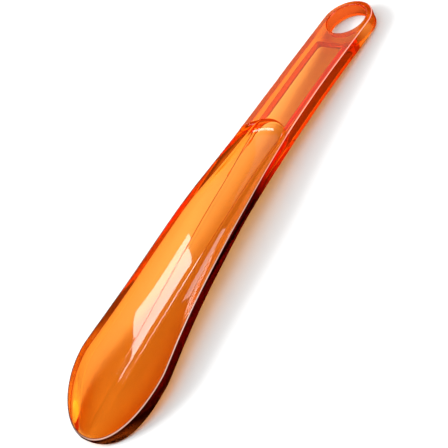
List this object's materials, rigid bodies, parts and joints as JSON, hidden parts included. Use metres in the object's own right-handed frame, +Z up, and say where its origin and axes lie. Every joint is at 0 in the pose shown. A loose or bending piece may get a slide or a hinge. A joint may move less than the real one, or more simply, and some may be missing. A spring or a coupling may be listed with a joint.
{
  "type": "shoehorn",
  "caption": "Clear orange plastic shoehorn moulded in one piece: a long troughed blade that swells to a rounded tip, and a flat handle ending in a ring for hanging it up.",
  "frame": {"origin": "on the table, under the middle of the box of the shoehorn as it lies hollow side up", "axes": "+X along the shoehorn towards the hang ring, +Z up, +Y across; the blade's tip is at -X"},
  "size_m": [0.2314, 0.0476, 0.0146],
  "materials": {
    "clear_plastic": "polished, transparent, tinted orange through its whole thickness"
  },
  "bodies": {
    "root": {"shoehorn_body": "clear_plastic"}
  },
  "joints": []
}
